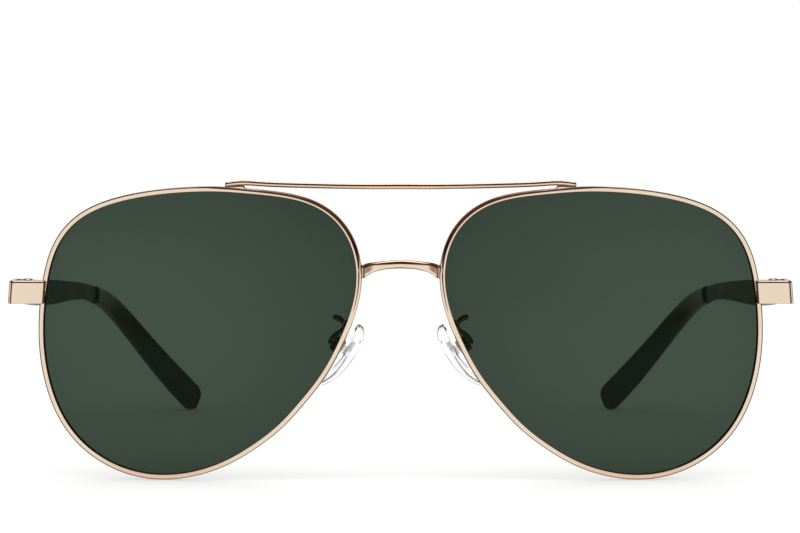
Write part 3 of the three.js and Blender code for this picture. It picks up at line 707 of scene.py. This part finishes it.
# ============================================================ end pieces
END_LOW, END_TOP = 32.95, 37.3
END_FACE = 6.76                              # y of the front face
END_OUTER = 73.85                            # x of the outer face
END_INNER = END_OUTER - 0.95                 # x inside the wall that runs back
END_BACK = 14.5                              # y where that wall ends
END_LEAN = 0.075                             # inwards per mm of height
# Inset of the outline at heights above the bottom, and at depths below the top
END_FOOT = [(0, 0.17), (0.03, 0.09), (0.09, 0.03), (0.17, 0.0), (0.22, 0.0)]
END_HEAD = [(0.48, 0.0), (0.43, 0.0), (0.41, 0.005), (0.15, 0.070), (0.13, 0.078),
            (0.07, 0.12), (0.02, 0.18), (0, 0.25)]


def end_piece():
    outline = np.array([
        (67.34, END_FACE), (67.42, END_FACE),
        *arc(END_OUTER - 1.0, END_FACE + 1.0, 1.0, -90, 0, 16),
        (END_OUTER, END_BACK), (END_INNER, END_BACK),
        *arc(END_INNER - 0.5, 8.5, 0.5, 0, -90, 6), (66.96, 8.0), (66.96, 7.5),
        (66.96, END_FACE + 0.32), (66.98, END_FACE + 0.26), (67.01, END_FACE + 0.225),
        (67.28, END_FACE + 0.03), (67.31, END_FACE + 0.006)])
    edges = unit(outline - np.roll(outline, 1, axis=0))
    run = edges + np.roll(edges, -1, axis=0)
    inwards = unit(np.column_stack([-run[:, 1], run[:, 0]]))
    levels = [(END_LOW + up, inset) for up, inset in END_FOOT]
    levels += [(END_TOP - down, inset) for down, inset in END_HEAD]
    piece = loft([at_height(outline + inwards * inset, z) for z, inset in levels])
    for vertex in piece.data.vertices:
        vertex.co.x -= END_LEAN * (vertex.co.z - (END_LOW + END_TOP) / 2)
    return piece


keep_pair(end_piece(), "end_piece", GOLD_PLATE, FRONT, "gold_metal", flats=True)

# ------------------------------------------------------------ closing blocks and their screws
CLOSING = (69.1, 9.6)                        # x, y of the closing screw
BLOCK_HEIGHTS = {"lower": (33.1, 34.85), "upper": (35.15, 36.7)}

for level, heights in BLOCK_HEIGHTS.items():
    closing = cut(block((67.6, 70.3), (8.1, 10.9), heights),
                  rod(0.55, (31, 39), (*CLOSING, 0), UP, 32))
    keep_pair(bevel(closing, 0.14, 3), f"closing_block_{level}", GOLD_INNER, FRONT,
              "gold_metal", flats=True)


def slotted_screw(at, low, top, shaft, head, head_z):
    """An upright screw; shaft and head are radii, and head_z is the underside of the head."""
    x, y = at
    screw = lathe([(low, shaft * 0.5), (low + 0.12, shaft), (head_z, shaft),
                   (head_z, head * 0.94), (head_z + 0.05, head), (top - 0.12, head),
                   (top - 0.04, head * 0.93), (top, head * 0.82)], (x, y, 0), UP, 56)
    return cut(screw, block((x - 2, x + 2), (y - 0.1, y + 0.1), (top - 0.16, top + 1)))


keep_pair(slotted_screw(CLOSING, low=33.08, top=37.1, shaft=0.45, head=0.85, head_z=36.73),
          "closing_screw", STEEL, FRONT, "screw_steel", flats=True)

# ============================================================ hinges
HINGE_X, HINGE_Y = HINGE
BARREL = 1.15                                # radius
# Heights of the three barrels; the middle one belongs to the temple
LOW_BARREL, MID_BARREL, HIGH_BARREL = (33.05, 34.27), (34.37, 35.63), (35.73, 36.95)


def hinge_rod(radius, span, sides):
    return rod(radius, span, (*HINGE, 0), UP, sides)


def front_hinge():
    leaf = (HINGE_X + BARREL + 0.05, END_INNER - 0.18)
    arm_back = HINGE_Y - 0.25
    piece = block(leaf, (10.2, arm_back), (LOW_BARREL[0], HIGH_BARREL[1]))
    for span in (LOW_BARREL, HIGH_BARREL):
        union(piece, block((HINGE_X, leaf[1]), (HINGE_Y - BARREL, arm_back), span),
              hinge_rod(BARREL, span, 56))
    cut(piece, hinge_rod(0.58, (30, 40), 40),
        hinge_rod(BARREL + 0.12, (LOW_BARREL[1], HIGH_BARREL[0]), 56))
    return bevel(piece, 0.07)


keep_pair(front_hinge(), "front_hinge", GOLD_INNER, FRONT, "gold_metal", flats=True)

# Run of the temple: y, x of its inner face, z of its middle
RUN = np.array([
    [14.75, 72.4, 35.03], [20, 71.85, 34.5], [28, 71.02, 33.72], [36, 70.2, 33.16],
    [50.9, 68.82, 32.39], [62, 67.7, 31.83], [72.6, 66.64, 31.14], [82.9, 65.53, 30.14],
    [92.6, 64.4, 28.64], [100.3, 63.05, 26.83], [106.2, 61.55, 24.45], [111.2, 59.9, 21.7],
    [115.6, 58.16, 18.8], [119.9, 56.3, 15.75], [123.8, 54.45, 12.8], [127.5, 52.5, 9.9],
    [131, 50.55, 7.1], [136.3, 47.5, 2.98], [141, 44.8, -0.7]])


def by_face(y, inwards=0.0):
    """x, y of a point just inside the temple's inner face."""
    return float(np.interp(y, RUN[:, 0], RUN[:, 1])) - 0.06 - inwards, y


def temple_hinge():
    neck = prism([(HINGE_X + 0.3, HINGE_Y), by_face(15.0), by_face(16.6), by_face(16.6, 0.7)],
                 *MID_BARREL)
    leaf = prism([by_face(16.2), by_face(20), by_face(21.5), by_face(21.5, 0.6),
                  by_face(16.2, 0.7)], 33.4, 36.3)
    piece = union(hinge_rod(BARREL, MID_BARREL, 56), neck, leaf)
    return bevel(cut(piece, hinge_rod(0.58, (30, 40), 40)), 0.07)


keep_pair(temple_hinge(), "temple_hinge", GOLD_INNER, TEMPLES, "gold_metal", flats=True)
keep_pair(slotted_screw(HINGE, low=33.03, top=37.25, shaft=0.5, head=0.9, head_z=36.98),
          "hinge_screw", STEEL, FRONT, "screw_steel", flats=True)

# ============================================================ temples
ARM_THICK = 1.2
SLEEVE_START, SLEEVE_END = 88.7, 136.3       # y of the tip's sleeve
SOCKET = (1.74, 1.24, 0.3)                   # height, width and corner of the hole in it
# y, height of the arm; y, height of the sleeve; y, thickness of the sleeve
ARM_HEIGHT = np.array([[14.75, 4.1], [17, 4.5], [22, 4.9], [36, 5.1], [48, 4.9], [54, 4.45],
                       [60, 4.1], [66, 3.8], [74, 3.5], [88.2, 3.2]])
SLEEVE_HEIGHT = np.array([[88.7, 3.7], [94, 3.9], [100, 4.4], [106, 4.75], [112, 4.95],
                          [118, 5.2], [124, 5.6], [130, 6.1], [136.3, 6.3]])
SLEEVE_THICK = np.array([[88.7, 2.3], [100, 2.5], [112, 2.7], [124, 3.0], [136.3, 3.2]])


def smoothed_run(reach=40, width=16.0):
    """Centreline of the temple, smoothed by a bell-shaped window measured in samples."""
    fine = spline(np.column_stack([RUN[:, 1] + ARM_THICK / 2, RUN[:, 0], RUN[:, 2]]), 900)
    kernel = np.exp(-0.5 * (np.arange(-reach, reach + 1) / width) ** 2)
    kernel /= kernel.sum()
    before = 2 * fine[0] - fine[reach:0:-1]
    after = 2 * fine[-1] - fine[-2:-reach - 2:-1]
    padded = np.concatenate([before, fine, after])
    return np.column_stack([np.convolve(column, kernel, "valid") for column in padded.T])


CENTRELINE = smoothed_run()
TANGENTS = unit(np.gradient(CENTRELINE, axis=0))


def eased(table, y):
    return float(np.mean(np.interp(np.linspace(y - 4, y + 4, 9), table[:, 0], table[:, 1])))


def temple_ring(y, height, width, corner, ahead=0.0):
    """A rounded section square to the centreline, moved ahead along it."""
    point, tangent = [np.array([np.interp(y, CENTRELINE[:, 1], column) for column in rows.T])
                      for rows in (CENTRELINE, TANGENTS)]
    tangent = unit(tangent)
    side = unit(np.array([tangent[1], -tangent[0], 0]))
    half_w, half_h = width / 2, height / 2
    section = rounded([(-half_w, -half_h), (half_w, -half_h), (half_w, half_h),
                       (-half_w, half_h)], corner, 4)
    return placed(section, point + ahead * tangent, side, np.cross(tangent, side))


def temple_arm():
    """The arm, which carries on as a thin core inside the tip."""
    rings = [temple_ring(14.75, 3.85, 0.95, 0.2), temple_ring(14.82, 4.05, 1.14, 0.28)]
    rings += [temple_ring(y, eased(ARM_HEIGHT, y), ARM_THICK, 0.32)
              for y in np.linspace(14.95, 88.0, 110)]
    rings += [temple_ring(88.25, 1.9, 1.1, 0.3)]
    rings += [temple_ring(y, 1.5, 1.0, 0.3) for y in np.linspace(88.45, 127, 50)]
    return loft(rings)


def temple_tip():
    """A sleeve with a round end; its socket is open at the front."""
    rings = [temple_ring(SLEEVE_START, *SOCKET), temple_ring(SLEEVE_START, 3.2, 1.8, 0.6),
             temple_ring(88.72, 3.5, 2.1, 0.75), temple_ring(88.85, 3.68, 2.27, 0.85)]
    for y in np.linspace(89.2, SLEEVE_END, 90):
        thick = eased(SLEEVE_THICK, y)
        rings.append(temple_ring(y, eased(SLEEVE_HEIGHT, y), thick, 0.46 * thick))
    height, thick = eased(SLEEVE_HEIGHT, SLEEVE_END), eased(SLEEVE_THICK, SLEEVE_END)
    for turn in np.radians(np.linspace(8, 86, 11)):
        scale = math.cos(turn) ** 0.8
        rings.append(temple_ring(SLEEVE_END, height * scale, thick * max(scale, 0.1) ** 0.8,
                                 0.46 * thick * scale, 3.0 * math.sin(turn)))
    socket = [temple_ring(y, *SOCKET) for y in np.linspace(SLEEVE_START, 127.6, 50)]
    points, faces = skin(rings, caps=False)
    socket_points, socket_faces = skin(socket, caps=False)
    count, base = len(rings[0]), len(points)
    faces += [tuple(reversed([base + i for i in face])) for face in socket_faces]
    faces.append(tuple(range(base - count, base)))
    end = base + len(socket_points)
    faces.append(tuple(reversed(range(end - count, end))))
    return mesh_object(np.concatenate([points, socket_points]), faces)


keep_pair(temple_arm(), "temple_arm", BLACK_METAL, TEMPLES, "black_metal", 40)
keep_pair(temple_tip(), "temple_tip", ACETATE, TEMPLES, "black_acetate", 50)

# ============================================================ nose pads
# Pad frame: along runs down and outwards, back runs back, out runs outwards and up
PAD_CENTRE = np.array([10.3, 12.5, 22.25])
PAD_ALONG = unit([0.573, 0.05, -0.819])
PAD_BACK = np.array([0.08, 0.99, 0.0])
PAD_BACK = unit(PAD_BACK - (PAD_BACK @ PAD_ALONG) * PAD_ALONG)
PAD_OUT = np.cross(PAD_ALONG, PAD_BACK)
PIVOT, PIVOT_OUT = -1.15, 2.8                # where the pad screw sits, along and out
PIN = (PIVOT, 0, PIVOT_OUT)
PAD_BOW = 34.0                               # the pad bows by along ** 2 / PAD_BOW
BOX_OUT = (1.75, 3.85)                       # extent of the box
# Half outline of the pad: along, back
PAD_HALF = [(-7.2, 0), (-6.8, 1.35), (-5.6, 2.35), (-3.6, 2.95), (-1, 3.3), (1.8, 3.6),
            (4.4, 3.4), (6.2, 2.45), (7.05, 1.2), (7.2, 0)]
PAD_SIDES = 96


def from_pad(points):
    points = np.asarray(points, float)
    return (PAD_CENTRE + points[..., :1] * PAD_ALONG + points[..., 1:2] * PAD_BACK
            + points[..., 2:3] * PAD_OUT)


def keep_pad_pair(piece, *details, **shading):
    moved(piece, from_pad)
    keep_pair(piece, *details, **shading)


def pad_outline():
    """The pad's outline, smoothed, at even angles."""
    other_half = [(x, -y) for x, y in PAD_HALF[1:-1][::-1]]
    loop = np.array(PAD_HALF + other_half + PAD_HALF[:1])
    dense = spline(np.concatenate([loop[-4:-1], loop, loop[1:4]]), 1200)
    inner = slice(150, -150)                 # leaves out most of the overlap
    angles = np.mod(np.unwrap(np.arctan2(dense[:, 1], dense[:, 0]))[inner], 2 * np.pi)
    radii = np.hypot(dense[:, 0], dense[:, 1])[inner]
    order = np.argsort(angles)
    even = np.linspace(0, 2 * np.pi, PAD_SIDES, endpoint=False)
    waves = np.fft.fft(np.interp(even, angles[order], radii[order], period=2 * np.pi))
    index = np.arange(PAD_SIDES)
    radii = np.real(np.fft.ifft(waves * (np.minimum(index, PAD_SIDES - index) < 14)))
    return radii * np.cos(even), radii * np.sin(even)


def pad_body():
    outline_x, outline_y = pad_outline()

    def layer(share, out):
        x, y = share * outline_x, share * outline_y
        x = np.where(x < -3, -3 + (x + 3) * 0.9, x)       # the upper end is a little shorter
        thicker = 1 + 0.32 * np.clip((-x - 1) / 4.5, 0, 1)
        return np.column_stack([x, y, out * thicker + x ** 2 / PAD_BOW])

    profile = [(math.cos(turn) ** 0.62, math.sin(turn) ** 0.75)
               for turn in np.radians(np.linspace(88, 4, 15))]
    return loft([layer(share, -1.22 * out) for share, out in profile]
                + [layer(share, 1.08 * out) for share, out in profile[::-1]])


def carrier(gap):
    """A bowed plate, and a boss that stands towards the box, grown all round by the gap."""
    stations = [(-3.7 - gap, 0.55), (-3.62 - gap, 0.8), (-3.4 - gap, 0.95)]   # along, share
    stations += [(x, 1.0) for x in np.linspace(-3.0, 2.6, 15)]
    stations += [(3.0 + gap, 0.95), (3.22 + gap, 0.8), (3.3 + gap, 0.55)]
    rings = []
    for x, share in stations:
        half, low, high = (1.5 + gap) * share, 0.10 - gap, 0.44 + gap
        ring = rounded([(-half, low), (half, low), (half, high), (-half, high)], 0.10, 3)
        rings.append(np.column_stack([np.full(len(ring), x), ring[:, 0],
                                      ring[:, 1] + x ** 2 / 38.0 - 0.04]))
    x0, x1, half = -1.95 - gap, -0.35 + gap, 0.9 + gap
    boss = rounded([(x0, -half), (x1, -half), (x1, half), (x0, half)], 0.35, 5)
    return union(loft(rings), prism(boss, 0.4, 1.45 + gap * 4))


def pad_insert():
    """The carrier with a round-ended tab bored for the pad screw."""
    tab = block((PIVOT - 0.55, PIVOT + 0.55), (-0.42, 0.42), (1.2, PIVOT_OUT))
    piece = union(carrier(0.0), tab, rod(0.56, (-0.42, 0.42), PIN, BACK, 40))
    return bevel(cut(piece, rod(0.43, (-2, 2), PIN, BACK, 32)), 0.06)


def pad_box():
    box = block((PIVOT - 1.4, PIVOT + 1.4), (-1.25, 1.25), BOX_OUT)
    slot = block((PIVOT - 0.8, PIVOT + 0.8), (-0.6, 0.6), (BOX_OUT[0] - 0.2, 3.5))
    return bevel(cut(box, slot, rod(0.41, (-3, 3), PIN, BACK, 32)), 0.2, 4)


def pad_screw():
    screw = lathe([(-1.65, 0.5), (-1.6, 0.58), (-1.52, 0.62), (-1.35, 0.62), (-1.31, 0.58),
                   (-1.31, 0.33), (1.28, 0.33), (1.36, 0.25)], PIN, BACK, 40)
    return cut(screw, block((PIVOT - 0.09, PIVOT + 0.09), (-2, -1.5),
                            (PIVOT_OUT - 1, PIVOT_OUT + 1)))


def pad_arm():
    """A wire from the rim, looping back and down to the box."""
    box_top = BOX_OUT[1] + 0.44
    path = spline([
        (10.1, 3.3, 29.45), (10.45, 4.9, 29.55), (11.3, 6.7, 29.95), (12.15, 8.4, 30.25),
        (12.35, 9.5, 30.3), (11.85, 10.5, 30.1), (11.1, 11.2, 29.5), (10.75, 11.6, 28.5),
        (11.15, 11.9, 27.6), from_pad([PIVOT - 1.35, 0, box_top]),
        from_pad([PIVOT + 0.9, 0, box_top])], 110)
    radii = 0.42 + 0.09 * np.exp(-((np.linspace(0, 1, 110) - 0.42) / 0.16) ** 2)
    radii[:9] = 0.42 + 0.3 * (1 - np.arange(9) / 9) ** 2   # flares at the rim
    radii[-4:] = (0.41, 0.36, 0.27, 0.12)
    return tube(path, radii, 28)


keep_pad_pair(cut(pad_body(), carrier(0.05)), "nose_pad", SILICONE, PADS, "clear_silicone", 50)
keep_pad_pair(pad_insert(), "pad_insert", CARRIER, PADS, "pad_carrier", flats=True)
keep_pad_pair(pad_box(), "pad_box", GOLD_BOX_PAINTED_SHADE, FRONT, "gold_metal", flats=True)
keep_pad_pair(pad_screw(), "pad_screw", STEEL, FRONT, "screw_steel", flats=True)
keep_pair(pad_arm(), "pad_arm", GOLD, FRONT, "gold_metal", 60)


# ============================================================ stage, light and camera, m
def floor(half=0.45):
    """A half-glowing white floor under the lowest point, unseen in reflections."""
    z = CAD_BOX[0][2]
    mesh = bpy.data.meshes.new("floor")
    mesh.from_pydata([(-half, -half, z), (half, -half, z), (half, half, z), (-half, half, z)],
                     [], [(0, 1, 2, 3)])
    piece = bpy.data.objects.new("floor", mesh)
    bpy.context.scene.collection.objects.link(piece)
    material, tree = new_material("floor_white")
    matt = principled(tree, {"Base Color": (0.9, 0.895, 0.89), "Roughness": 0.8,
                             "Specular IOR Level": 0.0})
    glow = node(tree, "Emission", {"Color": (1, 1, 1), "Strength": 1.0})[0]
    node(tree, "OutputMaterial", {"Surface": mix_shader(tree, 0.5, matt, glow)})
    mesh.materials.append(material)
    piece.visible_glossy = False


WHITE, MID, DEEP = (1.0, 1.0, 1.0), (0.36, 0.25, 0.19), (0.085, 0.030, 0.018)
# Reflected colour by bearing: -1 in front, 0 at the sides, 1 behind
BY_BEARING = [(-1.0, WHITE), (-0.80, WHITE), (-0.72, MID), (-0.65, DEEP), (-0.28, DEEP),
              (-0.18, MID), (-0.08, WHITE), (0.50, WHITE), (0.64, MID), (0.76, MID),
              (0.90, WHITE), (1.0, WHITE)]
# Reflected colour by the ray's upward part
BY_HEIGHT = [(-0.2, WHITE), (0.24, WHITE), (0.30, MID), (0.35, DEEP), (0.84, DEEP),
             (0.91, MID), (0.965, WHITE), (1.0, (1.1, 1.1, 1.1))]
# Colour seen through clear parts, by the ray's backward part
BY_DEPTH = [(-1.0, (0.74, 0.75, 0.75)), (-0.2, (0.80, 0.81, 0.81)), (0.35, (0.98, 0.98, 0.98)),
            (1.0, WHITE)]


def ramp(tree, value, stops):
    """Colour by value; the stops are (value, colour)."""
    low = stops[0][0]
    span = stops[-1][0] - low
    made = tree.nodes.new("ShaderNodeValToRGB")
    share = maths(tree, "MULTIPLY", maths(tree, "SUBTRACT", value, low), 1 / span)
    tree.links.new(share, made.inputs["Fac"])
    elements = made.color_ramp.elements
    elements[0].color, elements[1].color = (*stops[0][1], 1), (*stops[-1][1], 1)
    for at, colour in stops[1:-1]:
        elements.new((at - low) / span).color = (*colour, 1)
    return made.outputs["Color"]


def background(tree, colour):
    return node(tree, "Background", {"Color": colour, "Strength": 1.05})[0]


def world():
    """Plain white light, with its own surroundings for reflections and for clear parts."""
    studio = bpy.data.worlds.new("studio")
    studio.use_nodes = True
    bpy.context.scene.world = studio
    tree = studio.node_tree
    tree.nodes.clear()

    incoming = node(tree, "NewGeometry", {})["Incoming"]
    leaving = node(tree, "VectorMath", {0: incoming, "Scale": -1.0}, operation="SCALE")[0]
    x, y, z = node(tree, "SeparateXYZ", {0: leaving})
    squares = maths(tree, "ADD", maths(tree, "MULTIPLY", x, x), maths(tree, "MULTIPLY", y, y))
    level = maths(tree, "SQRT", maths(tree, "ADD", squares, 1e-6))
    bearing = maths(tree, "DIVIDE", y, level)
    pale = node(tree, "RGB", {})[0]
    pale.default_value = (1, 1, 1, 1)

    def fade_to_pale(value, start, end, colour):
        share = spread(tree, value, start=start, end=end, interpolation_type="SMOOTHSTEP")
        return mix_colour(tree, share, colour, pale)

    sides = fade_to_pale(z, 0.34, 0.52, ramp(tree, bearing, BY_BEARING))
    sky = mix_colour(tree, 1.0, sides, ramp(tree, z, BY_HEIGHT), blend="MULTIPLY")
    mirror = background(tree, fade_to_pale(y, 0.80, 0.92, sky))
    through = background(tree, ramp(tree, y, BY_DEPTH))
    path = node(tree, "LightPath", {})
    seen = mix_shader(tree, path["Is Glossy Ray"], background(tree, WHITE), mirror)
    seen = mix_shader(tree, path["Is Transmission Ray"], seen, through)
    node(tree, "OutputWorld", {"Surface": seen})


def softbox():
    data = bpy.data.lights.new("softbox_above", "AREA")
    data.shape, data.size, data.size_y, data.energy = "RECTANGLE", 0.9, 0.6, 3.0
    light = bpy.data.objects.new("softbox_above", data)
    place, target = Vector((0, -0.15, 0.9)), Vector((0, 0, 0.02))
    light.location = place
    light.rotation_euler = (target - place).to_track_quat("-Z", "Y").to_euler()
    bpy.context.scene.collection.objects.link(light)


def camera():
    """A long lens in front, looking back and slightly down."""
    data = bpy.data.cameras.new("camera")
    data.sensor_width = 36.0
    data.lens = 145.49715
    data.shift_x = -0.000875
    data.clip_start, data.clip_end = 0.01, 20
    view = bpy.data.objects.new("camera", data)
    view.location = to_row([0.0, -600.0, 74.685])
    view.rotation_euler = (math.radians(90 - 3.2717), 0, 0)
    bpy.context.scene.collection.objects.link(view)
    bpy.context.scene.camera = view


floor()
world()
softbox()
camera()
scene = bpy.context.scene
scene.view_settings.view_transform = "Standard"
scene.view_settings.look = "None"
scene.cycles.max_bounces = 16
scene.cycles.transparent_max_bounces = 16
scene.cycles.transmission_bounces = 12
